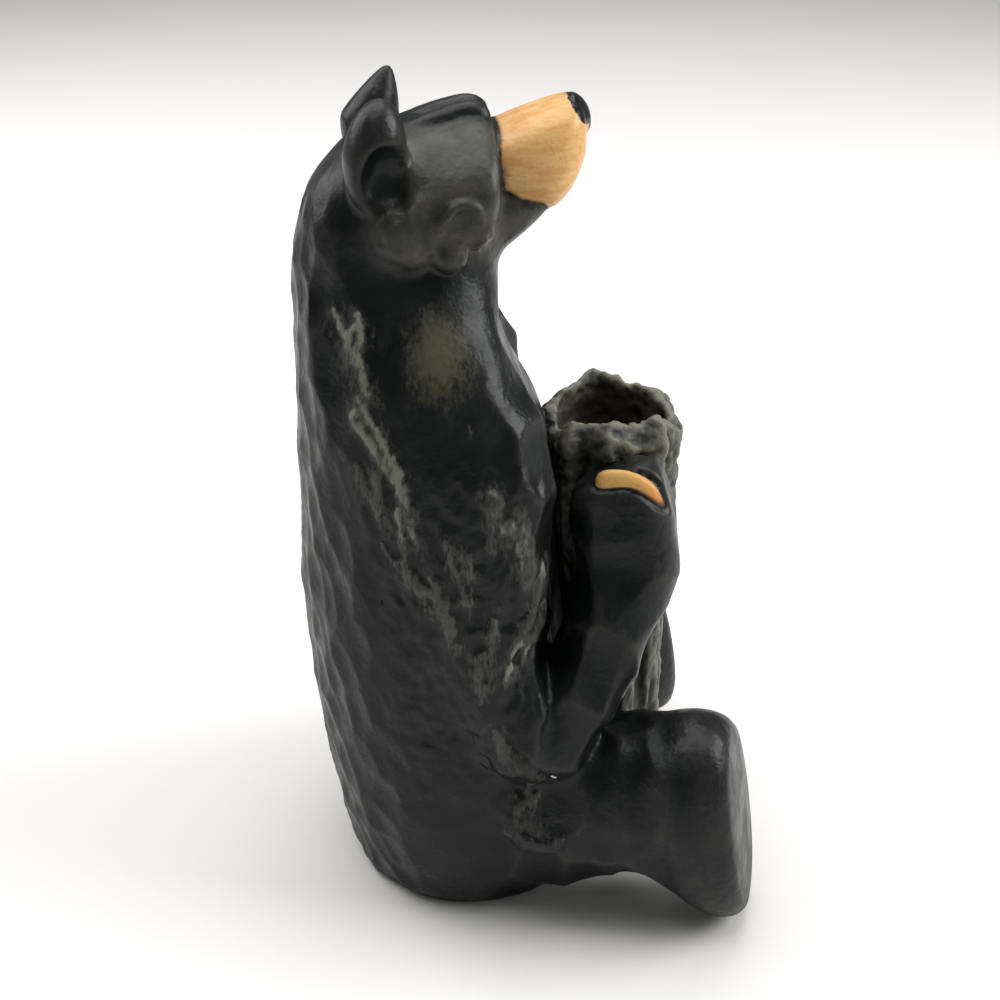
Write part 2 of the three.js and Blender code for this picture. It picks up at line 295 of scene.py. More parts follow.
bear = freshField()
torso = [(0, (b + f) / 2, z, half, (b - f) / 2, p) for z, b, f, half, p in body["levels"]]
join(bear, loft(torso, heading=(0, 0, 1), ends=(0.05, 0.05), around=96, rows=120))
for side in (-1, 1):
    left = side > 0
    leg = growing(body["leg"], body["leftFootBack"] * left, 1)
    hx, hy, hz = body["legHeading"]
    legSkin = loft(onSide(leg, side), heading=(-side * hx, hy, hz), ends=(0.08, 0.045))
    join(bear, legSkin, body["legSoft"])
    armSoft = lambda z: np.interp(z, [58, 84], [body["elbowSoft"], body["armSoft"]])
    join(bear, loft(onSide(body["upperArm"], side), power=2.1, ends=(0.06, 0.08)), armSoft)
    foreArm = growing(body["foreArm"], -body["leftPawDrop"] * left, 2)
    join(bear, loft(onSide(foreArm, side), power=2.4, ends=(0.1, 0.12)), body["wristSoft"])
    carve(bear, mirrored(tube(body["elbowCrease"], body["creaseRadius"]), side), 1.6)
print("body, legs and arms joined")

# Head, muzzle and jaw, from the nape forward.
head = {
    "skull": [  # forward place, crown, underside, half width, squareness
        (27, 181, 171, 12, 2.4),
        (20, 188.4, 168, 19.5, 2.2),
        (12, 191, 165, 23.2, 1.9),
        (4, 193, 164, 25, 1.75),
        (-2, 194.4, 165, 25, 1.7),
        (-5.8, 194, 166.5, 24.4, 1.7),
        (-7.8, 193, 168, 22.6, 1.75),
    ],
    "muzzle": [
        (-3, 189.8, 177.6, 12.4, 2.8),
        (-9, 190.6, 177, 13, 2.9),
        (-14, 192.6, 174.8, 13.5, 2.9),
        (-19, 194.4, 172.3, 13.6, 2.9),
        (-22.5, 195.6, 173.2, 13, 2.8),
        (-25.5, 196.2, 176.6, 11.4, 2.7),
        (-27.5, 195.4, 180.4, 9, 2.5),
        (-28.8, 192.5, 183.6, 6, 2.3),
    ],
    "jaw": [
        (2, 180, 158.5, 16, 2.4),
        (-6, 181, 160.4, 14, 2.4),
        (-10.5, 181, 163.2, 13, 2.4),
        (-14.5, 181, 166.4, 12, 2.4),
        (-18, 181, 169.6, 10.8, 2.4),
        (-20.6, 181, 172.4, 9, 2.4),
    ],
    "nose": {"at": (0, -26.7, 191.9), "radii": (6, 3.4, 5), "tilt": -0.35},
    "brow": [
        (-5, 17, 185.6, 3.4, 3.2),
        (-4.4, 8, 190.2, 3.4, 3),
        (-3.8, 1, 192.6, 3.2, 2.9),
        (-3.4, -3.6, 193.4, 3, 2.8),
        (-3.4, -6.6, 191.6, 2.6, 2.4),
    ],
    "ear": {"at": (-18.6, 18.4, 188.4), "radii": (7.8, 6.8, 12), "tilt": 0.1},
    "earTaper": {-1: 0.08, 1: 0.5},  # the left ear is the more pointed one
    "cup": {"at": (-26.6, 17.4, 184), "radii": (6.2, 4.4, 7.6), "tilt": 0.15},
    "earPit": {"at": (-25.6, 14.6, 184.4), "radii": (5, 3, 5.6), "tilt": -0.1},
    "jowl": [
        (17, 182, 168.5, 20, 3),
        (10, 184, 166, 24, 3.2),
        (3, 184, 165.6, 25, 3.2),
        (-3, 184, 166.6, 24.8, 3.2),
        (-6.8, 183, 168.4, 23.4, 3),
    ],
    "cheek": {"at": (-22.6, 12.4, 172.6), "radii": (4.4, 7, 7.4)},
    "cheekKnob": {"at": (-23.6, 3.1, 167.4), "radii": (2.6, 3.4, 3.4)},
    "hook": [
        (-25.4, 7.4, 171.4),
        (-25.9, 5.3, 174.9),
        (-25.6, 3.2, 177.8),
        (-25.2, 0.4, 179.2),
        (-25.2, -2.2, 178.2),
        (-25.2, -3.7, 174.6),
    ],
    "cheekFold": [(-25.8, 9.8, 168.6), (-26.5, 8.8, 172), (-26.3, 9.4, 176)],
    "mouth": [
        (-11.4, -9.4, 178.9),
        (-12, -11.5, 177.4),
        (-12.2, -14.5, 176),
        (-11.4, -18, 174.6),
        (-9, -20.4, 173),
    ],
}

join(bear, loft(slicesOf(head["skull"]), heading=(0, -1, 0), ends=(0.1, 0.015), around=80), 4)
join(bear, loft(slicesOf(head["jowl"]), heading=(0, -1, 0), ends=(0.12, 0.04), around=80), 1.6)
join(bear, loft(slicesOf(head["jaw"]), heading=(0, -1, 0), ends=(0.05, 0.12)), 3)
muzzleField = freshField()
join(muzzleField, loft(slicesOf(head["muzzle"]), heading=(0, -1, 0), ends=(0.05, 0.08), around=80))
bear = softMin(bear, muzzleField, 1.2)
join(bear, ball(**head["nose"]), 0.8)
for side in (-1, 1):
    join(bear, loft(onSide(head["brow"], side), ends=(0.2, 0.1), rows=30), 1)
    join(bear, mirrored(ball(**head["cheek"]), side), 3.6)
    join(bear, mirrored(ball(**head["cheekKnob"]), side), 2.2)
    join(bear, mirrored(tube(head["hook"], 1.2), side), 0.7)
    ear = freshField()
    join(ear, mirrored(ball(**head["ear"], taper=head["earTaper"][side]), side))
    carve(ear, mirrored(ball(**head["cup"]), side), 2.2)
    bear = softMin(bear, ear, 2)
    carve(bear, mirrored(ball(**head["earPit"]), side), 3.5)
    carve(bear, mirrored(tube(head["cheekFold"], 0.8), side), 1.8)
    carve(bear, mirrored(tube(head["mouth"], 0.8), side), 0.6)
print("head joined")


# Node helpers, for the geometry trees and the materials alike.
def addNode(tree, kind, inputs=None, **settings):
    node = tree.nodes.new(kind)
    for name, value in settings.items():
        setattr(node, name, value)
    for name, value in (inputs or {}).items():
        socket = node.inputs[name]
        if hasattr(value, "is_output"):
            tree.links.new(value, socket)
        else:
            socket.default_value = value
    return node


def mathNode(tree, operation, *values, clamp=False):
    node = addNode(tree, "ShaderNodeMath", operation=operation, use_clamp=clamp)
    for i, value in enumerate(values):
        if hasattr(value, "is_output"):
            tree.links.new(value, node.inputs[i])
        else:
            node.inputs[i].default_value = value
    return node.outputs[0]


def startTree(name, inputs):
    tree = bpy.data.node_groups.new(name, "GeometryNodeTree")
    tree.interface.new_socket("Geometry", in_out="INPUT", socket_type="NodeSocketGeometry")
    tree.interface.new_socket("Geometry", in_out="OUTPUT", socket_type="NodeSocketGeometry")
    for label, kind in inputs.items():
        tree.interface.new_socket(label, in_out="INPUT", socket_type="NodeSocket" + kind)
    return tree, addNode(tree, "NodeGroupInput").outputs


def endTree(tree, geometry, material):
    real = addNode(tree, "GeometryNodeRealizeInstances", {"Geometry": geometry})
    painted = addNode(tree, "GeometryNodeSetMaterial", {"Geometry": real.outputs[0], "Material": material})
    addNode(tree, "NodeGroupOutput", {"Geometry": painted.outputs[0]})


def addTree(piece, tree, values):
    modifier = piece.modifiers.new(tree.name, "NODES")
    modifier.node_group = tree
    for item in tree.interface.items_tree:
        if item.in_out == "INPUT" and item.name in values:
            modifier[item.identifier] = values[item.name]


def bake(piece):
    bpy.context.view_layer.update()
    graph = bpy.context.evaluated_depsgraph_get()
    mesh = bpy.data.meshes.new_from_object(piece.evaluated_get(graph), depsgraph=graph)
    piece.modifiers.clear()
    return mesh


def strandTree():
    sockets = {"Resolution": "Int", "Thickness": "Float", "Material": "Material"}
    tree, given = startTree("furStrands", sockets)
    profile = addNode(tree, "GeometryNodeCurvePrimitiveCircle", {"Resolution": given["Resolution"]})
    tree.links.new(given["Thickness"], profile.inputs["Radius"])
    radius = addNode(tree, "GeometryNodeInputRadius")
    sweep = addNode(tree, "GeometryNodeCurveToMesh", {"Curve": given["Geometry"], "Fill Caps": True})
    tree.links.new(profile.outputs["Curve"], sweep.inputs["Profile Curve"])
    tree.links.new(radius.outputs[0], sweep.inputs["Scale"])
    endTree(tree, sweep.outputs["Mesh"], given["Material"])
    return tree


# Locks of fur on the flanks, as (forward, up) lines. Each is a bundle of strands laid on the surface.
fur = {
    "worn": [  # locks whose paint is rubbed light, with half widths
        ([(26.4, 157), (24.4, 148), (21.6, 137)], 3.2),
        ([(24.6, 139.5), (21.2, 131), (17.6, 121)], 3.2),
        ([(18.2, 128), (15.8, 117), (13.6, 104)], 2.8),
        ([(-1.8, 120.5), (-5, 115.5), (-5.2, 107)], 2.1),
        ([(-6.4, 118), (-9.2, 108), (-12.4, 97.5)], 2.8),
        ([(-15.4, 101), (-12.6, 89), (-7.4, 74.5)], 3.4),
    ],
    "dull": [
        ([(23.6, 125), (20.8, 116), (17.4, 107)], 2.6),
        ([(18.4, 108.5), (14.6, 100), (10.2, 91)], 3),
        ([(12, 100), (7, 92), (3, 80)], 2.6),
        ([(6, 112), (3, 101), (1, 90)], 2.4),
        ([(-2, 66), (-9, 53), (-17, 45.5)], 3),
        ([(-16.5, 46), (-11.8, 38.5), (-7.6, 29)], 3.6),
        ([(-9, 44), (-13, 36), (-17, 28.5)], 3.2),
        ([(-7, 31.5), (-15.5, 26.5), (-24.5, 33)], 3.4),
        ([(-4, 92), (-2, 82), (-1, 70)], 2.6),
    ],
    "strands": 9,
    "thickness": 0.21,
    "sunk": 0.1,
    "seed": 11,
}


def flankAt(field, y, z, side):
    j = int(round(y / voxel)) - gridLow[1]
    k = int(round(z / voxel)) - gridLow[2]
    row = field[:, j, k] if side < 0 else field[::-1, j, k]
    i = int(np.argmax(row < 0))
    cross = i - row[i] / (row[i] - row[i - 1])
    return (cross + gridLow[0]) * voxel if side < 0 else (gridHigh[0] - 1 - cross) * voxel


def strandLines(field, locks, rng):
    lines = []
    for line, wide in locks:
        for n in range(fur["strands"]):
            offset = ((n + 0.5) / fur["strands"] * 2 - 1) * wide * 0.8
            first = rng.uniform(0, 0.6)
            last = min(1, first + rng.uniform(0.3, 0.6))
            wave = rng.uniform(-1, 1, 2)
            thick = wide * fur["thickness"] * rng.uniform(0.7, 1.15)
            t = np.linspace(first, last, 12)
            flat = throughPoints(line, t)
            along = unit(throughPoints(line, t + 0.01) - throughPoints(line, t - 0.01))
            sway = offset * (1 - 0.55 * t) + 0.7 * np.sin(5 * t + 3 * wave[0]) * wave[1]
            flat = flat + np.stack([-along[:, 1], along[:, 0]], 1) * sway[:, None]
            radius = thick * np.sin(np.linspace(0.25, 0.93, 12) * math.pi) ** 0.7
            for side in (-1, 1):
                x = np.array([flankAt(field, y, z, side) for y, z in flat])
                x = np.convolve(np.pad(x, 2, mode="edge"), np.ones(5) / 5, mode="valid")
                x = x - side * fur["sunk"] * radius
                lines.append((np.column_stack([x, flat]), radius))
    return lines


def sweptStrands(name, lines, tree):
    curve = bpy.data.curves.new(name, "CURVE")
    curve.dimensions = "3D"
    for points, radius in lines:
        spline = curve.splines.new("POLY")
        spline.points.add(len(points) - 1)
        spline.points.foreach_set("co", np.column_stack([points * mm, np.ones(len(points))]).ravel())
        spline.points.foreach_set("radius", radius)
    piece = bpy.data.objects.new(name, curve)
    bpy.context.scene.collection.objects.link(piece)
    addTree(piece, tree, {"Resolution": 10, "Thickness": mm})
    mesh = bake(piece)
    mesh.calc_loop_triangles()
    points = np.empty(len(mesh.vertices) * 3, np.float32)
    mesh.vertices.foreach_get("co", points)
    fans = np.empty(len(mesh.loop_triangles) * 3, np.int32)
    mesh.loop_triangles.foreach_get("vertices", fans)
    bpy.data.objects.remove(piece)
    bpy.data.meshes.remove(mesh)
    return points.reshape(-1, 3) / mm, np.zeros((0, 4), int), fans.reshape(-1, 3)


rng = np.random.default_rng(fur["seed"])
strandSweep = strandTree()
lockFields = {}
baseField = bear.copy()
for kind in ("worn", "dull"):
    shape = sweptStrands(kind + "Locks", strandLines(baseField, fur[kind], rng), strandSweep)
    lockFields[kind] = freshField()
    join(lockFields[kind], shape)
    bear = softMin(bear, lockFields[kind], 0.6)
print("fur locks laid")

# The log, with a bark of waves, a broken rim and its hollow for the candle.
log = {
    "radius": 16.8,
    "y": -37,
    "top": 121.5,
    "bevel": 5,
    "foot": -6,
    "taper": 1.8,
    "hollowRadius": 13.4,
    "hollowDepth": 26,
    "barkWaves": [  # size, count, phase, twist
        (0.85, 9, 0, 0.05),
        (0.5, 14, 1, -0.07),
        (0.25, 23, 2, 0.11),
    ],
    "rimWaves": [
        (0.5, 1, 1.57, 0),
        (1.7, 2, 1.57, 0),
        (0.9, 5, 1, 0),
        (0.6, 8, 2.2, 0),
        (0.35, 17, 0.4, 0),
    ],
    "hollowWaves": [(0.5, 3, 1, 0), (0.3, 7, 0, 0), (0.15, 13, 2, 0)],
}


def waves(kind, angle, z=0):
    return sum(size * np.sin(count * angle + phase + twist * z) for size, count, phase, twist in log[kind])


def logRing(radius, level, bark=1, rag=0, kind="barkWaves"):
    angle = np.arange(128) / 128 * 2 * math.pi
    z = level + rag * waves("rimWaves", angle)
    r = radius + bark * waves(kind, angle, z)
    return np.stack([r * np.cos(angle), log["y"] + r * np.sin(angle), z + 0 * angle], 1)


shoulder = log["top"] - log["bevel"] - 4
logRings = [logRing(log["radius"] - log["taper"], log["foot"] - 2, 0)]
for part in np.linspace(0, 1, 40):
    narrower = log["taper"] * (1 - part**4)
    logRings.append(logRing(log["radius"] - narrower, log["foot"] + (shoulder - log["foot"]) * part))
logRings.append(logRing(log["radius"] + 0.9, log["top"] - log["bevel"], 1, 0.8))
logRings.append(logRing(log["radius"] - 0.6, log["top"] - 1.6, 1, 0.95))
logRings.append(logRing(log["hollowRadius"] + 0.9, log["top"], 1, 1))
logRings.append(logRing(log["hollowRadius"] / 2, log["top"], 0))
logField = freshField()
join(logField, closedRings(np.array(logRings)))
floorZ = log["top"] - log["hollowDepth"]
hollowRings = [
    logRing(log["hollowRadius"] - 0.6 - 2 * edge, floorZ + level, 1, 0, "hollowWaves")
    for edge, level in ((1, 0), (0.3, 0.5), (0, 2), (-0.3, 9), (-0.5, 36))
]
hollow = closedRings(np.array(hollowRings))
print("log shaped")

# Claws of the right paw, one along its top edge and three round the front of the log.
claw = {
    "top": [
        (-30.2, -28.6, 115.2, 1.6, 2.2),
        (-31, -31.5, 115.9, 1.8, 2.9),
        (-31.8, -35.8, 115.9, 1.8, 2.7),
        (-32.8, -39.6, 114.2, 1.7, 2.4),
        (-33, -42.2, 111, 1.5, 1.9),
        (-32.2, -44, 108, 1, 0.9),
    ],
    "front": [
        (-26, -44, 0, 1.8, 1.8),
        (-22.5, -44.4, 0.6, 2, 2),
        (-19, -43.9, 0.4, 1.9, 1.9),
        (-16.4, -44.6, -0.6, 1.6, 1.6),
        (-14.2, -46.2, -2.2, 0.8, 0.8),
    ],
    "roots": (109.5, 103, 96.5),
}
clawLines = [(claw["top"], (1, 0, 0))]
for root in claw["roots"]:
    clawLines.append(([(x, y, z + root, a, b) for x, y, z, a, b in claw["front"]], (0, 0, 1)))
clawField = freshField()
clawSpine = []
for side in (-1, 1):
    drop = body["leftPawDrop"] if side > 0 else 0
    for line, across in clawLines:
        stations = [(-side * x, y, z - drop, a, b) for x, y, z, a, b in line]
        join(clawField, loft(stations, across=across, power=2, ends=(0.15, 0.12), around=24, rows=40))
        t = np.linspace(0, 1, 30)
        clawSpine.append(np.column_stack([throughPoints(stations, t)[:, :3], t]))
clawSpine = np.vstack(clawSpine)

whole = softMin(bear, logField, 0.5)
whole = softMin(whole, clawField, 0.3)
carve(whole, hollow, 0.3)
heights = np.arange(gridLow[2], gridHigh[2]) * voxel
whole = np.maximum(whole, -heights.astype(np.float32))
print("claws joined")

# The clay becomes one mesh.
volume = openvdb.FloatGrid(clay["reach"])
volume.copyFromArray(np.ascontiguousarray(whole, np.float32))
points, quads = volume.convertToQuads(0.0)
points = (points + gridLow) * voxel
corners = points[quads]
inward = np.einsum("ij,ij->i", corners[:, 0], np.cross(corners[:, 1], corners[:, 2])).sum() < 0
quads = quads[:, ::-1] if inward else quads
mesh = bpy.data.meshes.new("bearWithLog")
mesh.from_pydata((points * mm).tolist(), [], quads.tolist())
piece = bpy.data.objects.new("bearWithLog", mesh)
bpy.context.scene.collection.objects.link(piece)
print("clay meshed:", len(quads), "faces")


def meshPoints(mesh):
    flat = np.empty(len(mesh.vertices) * 3, np.float32)
    mesh.vertices.foreach_get("co", flat)
    return flat.reshape(-1, 3) / mm


def meshNormals(mesh):
    flat = np.empty(len(mesh.vertices) * 3, np.float32)
    mesh.vertex_normals.foreach_get("vector", flat)
    return flat.reshape(-1, 3)


def store(mesh, name, values):
    kind = "FLOAT_VECTOR" if np.ndim(values) == 2 else "FLOAT"
    layer = mesh.attributes.new(name, kind, "POINT")
    data = np.ascontiguousarray(values, np.float32).ravel()
    layer.data.foreach_set("vector" if kind == "FLOAT_VECTOR" else "value", data)


# Tool marks: scooped cuts down the back and the rump, broad facets on the limbs, and lumps and bark.
relief = {
    "slant": 0.32,
    "back": {"Size": 6.5, "Stretch": 2.0, "Depth": 1.7},
    "facets": {"Size": 12.0, "Stretch": 1.5, "Depth": 4.6},
    "lumps": {"Size": 6.0, "Stretch": 1.6, "Depth": 1.1},
    "cheek": {"Size": 5.0, "Stretch": 1.0, "Depth": 0.7},
    "rim": {"Size": 9.0, "Stretch": 0.6, "Depth": 1.3},
    "trunk": {"Size": 5.0, "Stretch": 3.2, "Depth": 1.2},
}


def startRelief(name):
    sockets = {"Mask": "String", "Size": "Float", "Stretch": "Float", "Depth": "Float"}
    tree, given = startTree(name, {**sockets, "Material": "Material"})
    mask = addNode(tree, "GeometryNodeInputNamedAttribute", {"Name": given["Mask"]})
    space = addNode(
        tree,
        "GeometryNodeInputNamedAttribute",
        {"Name": "strokeSpace"},
        data_type="FLOAT_VECTOR",
    )
    long = mathNode(tree, "MULTIPLY", given["Size"], given["Stretch"])
    cell = addNode(tree, "ShaderNodeCombineXYZ", {"X": given["Size"], "Y": given["Size"], "Z": long})
    scaled = addNode(tree, "ShaderNodeVectorMath", operation="DIVIDE")
    tree.links.new(space.outputs["Attribute"], scaled.inputs[0])
    tree.links.new(cell.outputs[0], scaled.inputs[1])
    return tree, given, mask.outputs["Attribute"], scaled.outputs[0]


def chiselTree():
    tree, given, mask, place = startRelief("chiselCuts")
    inputs = {"Vector": place, "Scale": 1.0, "Randomness": 0.85}
    scoop = addNode(tree, "ShaderNodeTexVoronoi", inputs)
    scoop.feature = "SMOOTH_F1"
    scoop.inputs["Smoothness"].default_value = 0.12
    bowl = mathNode(tree, "POWER", scoop.outputs["Distance"], 1.6)
    height = mathNode(tree, "MULTIPLY", mathNode(tree, "SUBTRACT", bowl, 0.32), given["Depth"])
    height = mathNode(tree, "MULTIPLY", height, mask)
    moveAlongNormal(tree, given, height)
    return tree


def lumpTree():
    tree, given, mask, place = startRelief("clayLumps")
    inputs = {"Vector": place, "Scale": 1.0, "Detail": 3.0}
    rough = addNode(tree, "ShaderNodeTexNoise", inputs)
    ridge = mathNode(tree, "ABSOLUTE", mathNode(tree, "SUBTRACT", rough.outputs["Fac"], 0.5))
    height = mathNode(tree, "MULTIPLY", mathNode(tree, "SUBTRACT", 0.1, ridge), given["Depth"])
    height = mathNode(tree, "MULTIPLY", mathNode(tree, "MULTIPLY", height, 4.0), mask)
    moveAlongNormal(tree, given, height)
    return tree


def moveAlongNormal(tree, given, height):
    metres = mathNode(tree, "MULTIPLY", height, mm)
    normal = addNode(tree, "GeometryNodeInputNormal")
    offset = addNode(tree, "ShaderNodeVectorMath", operation="SCALE")
    tree.links.new(normal.outputs[0], offset.inputs[0])
    tree.links.new(metres, offset.inputs["Scale"])
    inputs = {"Geometry": given["Geometry"], "Offset": offset.outputs[0]}
    moved = addNode(tree, "GeometryNodeSetPosition", inputs)
    endTree(tree, moved.outputs[0], given["Material"])


x, y, z = points.T
onLog = sampleField(bear, points) - sampleField(logField, points)
outside = np.hypot(x, y - log["y"]) > 15
barkMask = ease(-0.2, 0.6, onLog) * ease(96.5, 100, z + 100 * outside) * ease(0, 3, z)
nearRim = ease(90, 104, z)
onClaw = sampleField(bear, points) - sampleField(clawField, points)
plain = (1 - ease(-1.5, -0.4, onLog)) * (1 - ease(-1.2, -0.2, onClaw)) * ease(0, 2.5, z)
onBack = ease(13, 27, y + 7 * ease(60, 15, z)) * ease(186, 168, z)
onLimb = ease(4, -14, y) * ease(155, 135, z) * ease(10, 22, np.abs(x))
onLimb = onLimb * np.maximum(ease(-50, -40, y), ease(58, 64, z))
onFlank = ease(26, 14, y) * ease(-24, -8, y) * ease(20, 55, z) * ease(132, 116, z)
onCheek = ease(163, 167, z) * ease(182, 177, z) * ease(12, 17, np.abs(x))
onCheek = onCheek * ease(22, 18, y) * ease(-9, -5, y)
slanted = np.column_stack([np.abs(x) + relief["slant"] * z, y, z - relief["slant"] * np.abs(x)])
store(mesh, "strokeSpace", slanted)
store(mesh, "backMask", plain * onBack)
store(mesh, "limbMask", plain * onLimb)
store(mesh, "flankMask", plain * onFlank)
store(mesh, "cheekMask", onCheek)
store(mesh, "rimMask", barkMask * nearRim)
store(mesh, "trunkMask", barkMask * (1 - nearRim))
chiselCuts = chiselTree()
clayLumps = lumpTree()
addTree(piece, chiselCuts, {"Mask": "backMask", **relief["back"]})
addTree(piece, chiselCuts, {"Mask": "limbMask", **relief["facets"]})
addTree(piece, clayLumps, {"Mask": "flankMask", **relief["lumps"]})
addTree(piece, clayLumps, {"Mask": "cheekMask", **relief["cheek"]})
addTree(piece, clayLumps, {"Mask": "rimMask", **relief["rim"]})
addTree(piece, clayLumps, {"Mask": "trunkMask", **relief["trunk"]})
piece.data = bake(piece)
thin = piece.modifiers.new("thin", "DECIMATE")
thin.ratio = min(1, clay["triangles"] / (2 * len(quads)))
piece.data = bake(piece)
mesh = piece.data
mesh.name = "bearWithLog"
points = meshPoints(mesh)
points[:, 2] = np.maximum(points[:, 2], 0)
mesh.vertices.foreach_set("co", (points * mm).ravel())
mesh.update()
mesh.shade_smooth()
print("tool marks cut:", len(mesh.polygons), "faces")

# Where each paint lies, in millimetres inside its edge.
paint = {
    "muzzleEdge": [(-9.4, 191), (-8.8, 188), (-8.9, 185.4), (-9.3, 182), (-10, 178.7)],
    "mouthLine": [
        (-25, 170),
        (-20.6, 172.2),
        (-18.9, 174.8),
        (-16.6, 175.4),
        (-13.7, 176.3),
        (-11.5, 177.4),
        (-9, 179.4),
    ],
    "nose": {"at": (0, -28.4, 194.2), "radii": (11, 4.6, 3.8)},
    "faded": {"at": (6.5, 148), "half": (12, 15)},
    "scratch": [(-37.7, 2, 134.5), (-38.9, -3.3, 130.5)],
    "chipsAndGlint": [
        ((-47.4, -17.8, 47.2), 1.1),
        ((-38.6, -11.2, 0.7), 0.9),
        ((-38.3, -13.2, 0.6), 1.1),
        ((-37.6, -15.2, 0.7), 0.8),
        # a white spot on the far wall of the hollow is a painted glint
        ((13.2, -40.6, 115.5), 0.8),
    ],
}
x, y, z = points.T
normals = meshNormals(mesh)
edges = np.empty(len(mesh.edges) * 2, np.int32)
mesh.edges.foreach_get("vertices", edges)
edges = edges.reshape(-1, 2)
degree = np.bincount(edges.ravel(), minlength=len(points))[:, None]


def relaxed(values, times):
    for _ in range(times):
        total = np.zeros_like(values)
        for k in range(values.shape[1]):
            total[:, k] += np.bincount(edges[:, 0], values[edges[:, 1], k], len(points))
            total[:, k] += np.bincount(edges[:, 1], values[edges[:, 0], k], len(points))
        values = total / degree
    return values


def segmentDistance(points, a, b):
    a, b = np.array(a), np.array(b)
    t = np.clip((points - a) @ (b - a) / ((b - a) @ (b - a)), 0, 1)
    return np.linalg.norm(points - a - t[:, None] * (b - a), axis=1)


smooth = relaxed(points.astype(float), 8)
ridge = np.einsum("ij,ij->i", points - smooth, normals)
onLog = sampleField(bear, points) - sampleField(logField, points)
underClaw = np.minimum(sampleField(bear, points), sampleField(logField, points))
onClaw = underClaw - sampleField(clawField, points)
edgeLine = np.array(paint["muzzleEdge"][::-1])
edgeY = np.interp(z, edgeLine[:, 1], edgeLine[:, 0])
mouthZ = np.interp(y, *np.array(paint["mouthLine"]).T)
muzzle = np.minimum(np.minimum(edgeY - y, z - mouthZ), 0.9 - sampleField(muzzleField, points))
noseSpan = np.linalg.norm((points - paint["nose"]["at"]) / paint["nose"]["radii"], axis=1)
fadeAt, fadeHalf = paint["faded"]["at"], paint["faded"]["half"]
fadeSpan = np.hypot((y - fadeAt[0]) / fadeHalf[0], (z - fadeAt[1]) / fadeHalf[1])
chipsAndGlint = np.max([radius - np.linalg.norm(points - at, axis=1) for at, radius in paint["chipsAndGlint"]], axis=0)
scratch = 0.5 - segmentDistance(points, *paint["scratch"])
wornLocks = sampleField(lockFields["worn"], points)
dullLocks = sampleField(lockFields["dull"], points)
inHollow = ease(14.9, 13.9, np.hypot(x, y - log["y"])) * ease(122, 118, z) * ease(0, 1, onLog)
clawAlong = np.zeros(len(points))
nearClaw = np.flatnonzero(onClaw > -2)
gaps = np.linalg.norm(points[nearClaw, None] - clawSpine[None, :, :3], axis=2)
clawAlong[nearClaw] = clawSpine[gaps.argmin(1), 3]
store(mesh, "muzzle", muzzle)
store(mesh, "nose", (1 - noseSpan) * 4)
store(mesh, "faded", 1 - fadeSpan)
store(mesh, "chipsAndGlint", chipsAndGlint)
crest = np.clip(0.3 + 3 * ridge, 0, 1)
store(mesh, "worn", np.clip(1 - wornLocks / 0.9, 0, 1) * crest)
beside = np.clip(1 - np.minimum(wornLocks, dullLocks + 1) / 3.2, 0, 1)
store(mesh, "rubbed", beside * np.clip(0.75 + 2.5 * ridge, 0, 1))
dullCrest = np.clip(1 - dullLocks / 0.9, 0, 1) * crest
store(mesh, "dull", np.maximum(dullCrest, np.clip(2 * scratch, 0, 1)))
store(mesh, "ridge", ridge)
store(mesh, "bark", onLog)
store(mesh, "hollow", inHollow)
store(mesh, "claw", onClaw)
store(mesh, "clawAlong", clawAlong)
inEar = ease(176, 181, z) * ease(10.5, 13, y)
# Painted light: the sides of the face get a lighter grey, as if lit.
store(mesh, "faceLight", ease(22, 14, y) * ease(163, 168, z) * ease(6, 12, np.abs(x)) * (1 - inEar))
print("paint laid out")


# Materials.
def attribute(tree, name):
    return addNode(tree, "ShaderNodeAttribute", attribute_name=name).outputs["Fac"]


def mixColour(tree, factor, a, b):
    node = addNode(tree, "ShaderNodeMix", data_type="RGBA")
    for socket, value in ((0, factor), (6, a), (7, b)):
        if hasattr(value, "is_output"):
            tree.links.new(value, node.inputs[socket])
        elif socket == 0:
            node.inputs[socket].default_value = value
        else:
            node.inputs[socket].default_value = (*value, 1)
    return node.outputs[2]


def between(tree, value, low, high):
    node = addNode(tree, "ShaderNodeMapRange", {"Value": value, "From Min": low, "From Max": high})
    node.interpolation_type = "SMOOTHSTEP"
    return node.outputs[0]


def noise(tree, place, size, detail=3.0, rough=0.55):
    inputs = {"Vector": place, "Scale": 1 / (size * mm), "Detail": detail, "Roughness": rough}
    return addNode(tree, "ShaderNodeTexNoise", inputs).outputs["Fac"]


def startGroup(name, inputs, outputs):
    tree = bpy.data.node_groups.new(name, "ShaderNodeTree")
    for label, kind in inputs.items():
        tree.interface.new_socket(label, in_out="INPUT", socket_type="NodeSocket" + kind)
    for label, kind in outputs.items():
        tree.interface.new_socket(label, in_out="OUTPUT", socket_type="NodeSocket" + kind)
    return tree, addNode(tree, "NodeGroupInput").outputs


def rubbedPaintGroup():
    tree, given = startGroup("rubbedPaint", {"Amount": "Float", "Break": "Float"}, {"Mask": "Float"})
    place = addNode(tree, "ShaderNodeTexCoord").outputs["Object"]
    combed = addNode(tree, "ShaderNodeMapping", {"Vector": place, "Scale": (1.0, 1.0, 0.35)}).outputs[0]
    fine = noise(tree, combed, 0.9, 4.0, 0.65)
    broad = noise(tree, combed, 4.0, 2.0)
    fine = mathNode(tree, "MULTIPLY", fine, 0.65)
    grain = mathNode(tree, "ADD", fine, mathNode(tree, "MULTIPLY", broad, 0.5))
    reach = mathNode(tree, "MULTIPLY", mathNode(tree, "SUBTRACT", grain, 0.55), given["Break"])
    mask = between(tree, mathNode(tree, "ADD", given["Amount"], reach), 0.25, 0.85)
    mask = mathNode(tree, "MULTIPLY", mask, between(tree, given["Amount"], 0.02, 0.2))
    addNode(tree, "NodeGroupOutput", {"Mask": mask})
    return tree


